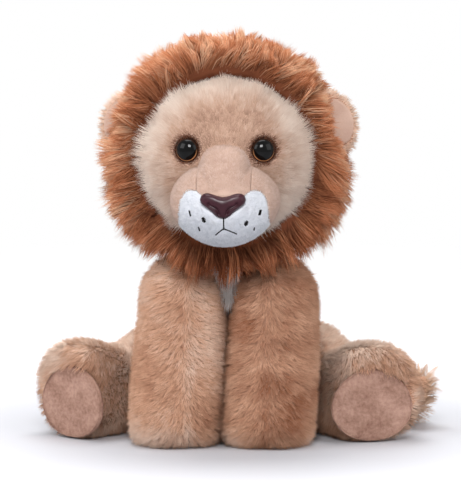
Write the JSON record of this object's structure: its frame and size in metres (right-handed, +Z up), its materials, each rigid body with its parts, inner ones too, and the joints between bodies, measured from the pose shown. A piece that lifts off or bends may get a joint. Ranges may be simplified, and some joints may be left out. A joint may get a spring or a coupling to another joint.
{
  "type": "plush lion",
  "caption": "Sitting plush lion with a stuffed body and head, a long-pile mane, a velour muzzle, moulded eyes and nose, and sewn-on legs, ears and tail.",
  "frame": {"origin": "middle of the seat panel's underside, on the floor", "axes": "+Z up, -Y the way the lion faces, +X the lion's own left"},
  "size_m": [0.2857, 0.2472, 0.2869],
  "materials": {
    "fur": "plush pile, 8 mm",
    "face_fur": "plush pile, 6 mm, tipped with cream",
    "mane_fur": "long pile",
    "velour": "short velour",
    "white_velour": "short velour",
    "sole_velour": "short velour",
    "filling": "polyester filling",
    "nose_plastic": "gloss",
    "eye_plastic": "high gloss",
    "washer_plastic": "matt"
  },
  "bodies": {
    "torso": {"torso": "fur", "chest_panel": "white_velour", "seat_panel": "fur", "pellet_pouch": "filling"},
    "neck": {"neck_stuffing": "filling"},
    "head": {"head": "face_fur", "eye_left": "eye_plastic", "eye_right": "eye_plastic", "eye_washer_left": "washer_plastic", "eye_washer_right": "washer_plastic", "snout": "white_velour", "muzzle_bridge": "velour", "muzzle_cheek_left": "velour", "muzzle_cheek_right": "velour", "nose": "nose_plastic", "nose_washer": "washer_plastic", "mane_crown": "mane_fur", "mane_side_left": "mane_fur", "mane_side_right": "mane_fur", "mane_bib": "mane_fur", "mane_back": "mane_fur"},
    "ear_left": {"ear_left": "fur", "ear_lining_left": "velour"},
    "ear_right": {"ear_right": "fur", "ear_lining_right": "velour"},
    "front_leg_left": {"front_leg_left": "fur"},
    "front_leg_right": {"front_leg_right": "fur"},
    "hind_leg_left": {"hind_leg_left": "fur", "sole_pad_left": "sole_velour"},
    "hind_leg_right": {"hind_leg_right": "fur", "sole_pad_right": "sole_velour"},
    "tail": {"tail": "fur", "tail_tuft": "mane_fur"}
  },
  "joints": [
    {"name": "head_turn", "type": "hinge", "parent": "torso", "child": "neck", "pos_m": [0, -0.05, 0.15], "axis": [0, 0, 1], "range_deg": [-20, 20], "stiffness_Nm_per_rad": 0.8},
    {"name": "head_nod", "type": "hinge", "parent": "neck", "child": "head", "pos_m": [0, -0.05, 0.15], "axis": [1, 0, 0], "range_deg": [-10, 10], "stiffness_Nm_per_rad": 2},
    {"name": "ear_fold_left", "type": "hinge", "parent": "head", "child": "ear_left", "pos_m": [0.0635, -0.065, 0.22663], "axis": [-0.309, 0, 0.9511], "range_deg": [-15, 15], "stiffness_Nm_per_rad": 0.02},
    {"name": "ear_fold_right", "type": "hinge", "parent": "head", "child": "ear_right", "pos_m": [-0.0635, -0.065, 0.22663], "axis": [-0.309, 0, -0.9511], "range_deg": [-15, 15], "stiffness_Nm_per_rad": 0.02},
    {"name": "front_leg_swing_left", "type": "hinge", "parent": "torso", "child": "front_leg_left", "pos_m": [0.0325, -0.062, 0.106], "axis": [-1, 0, 0], "range_deg": [0, 30], "stiffness_Nm_per_rad": 0.25},
    {"name": "front_leg_swing_right", "type": "hinge", "parent": "torso", "child": "front_leg_right", "pos_m": [-0.0325, -0.062, 0.106], "axis": [-1, 0, 0], "range_deg": [0, 30], "stiffness_Nm_per_rad": 0.25},
    {"name": "hind_leg_lift_left", "type": "hinge", "parent": "torso", "child": "hind_leg_left", "pos_m": [0.052, 0.022, 0.042], "axis": [-0.8572, -0.515, 0], "range_deg": [0, 20], "stiffness_Nm_per_rad": 0.3},
    {"name": "hind_leg_lift_right", "type": "hinge", "parent": "torso", "child": "hind_leg_right", "pos_m": [-0.052, 0.022, 0.042], "axis": [-0.7815, 0.6239, 0], "range_deg": [0, 20], "stiffness_Nm_per_rad": 0.3},
    {"name": "tail_swing", "type": "hinge", "parent": "torso", "child": "tail", "pos_m": [0, 0.05, 0.01], "axis": [0, 0, 1], "range_deg": [0, 35], "stiffness_Nm_per_rad": 0.03}
  ]
}
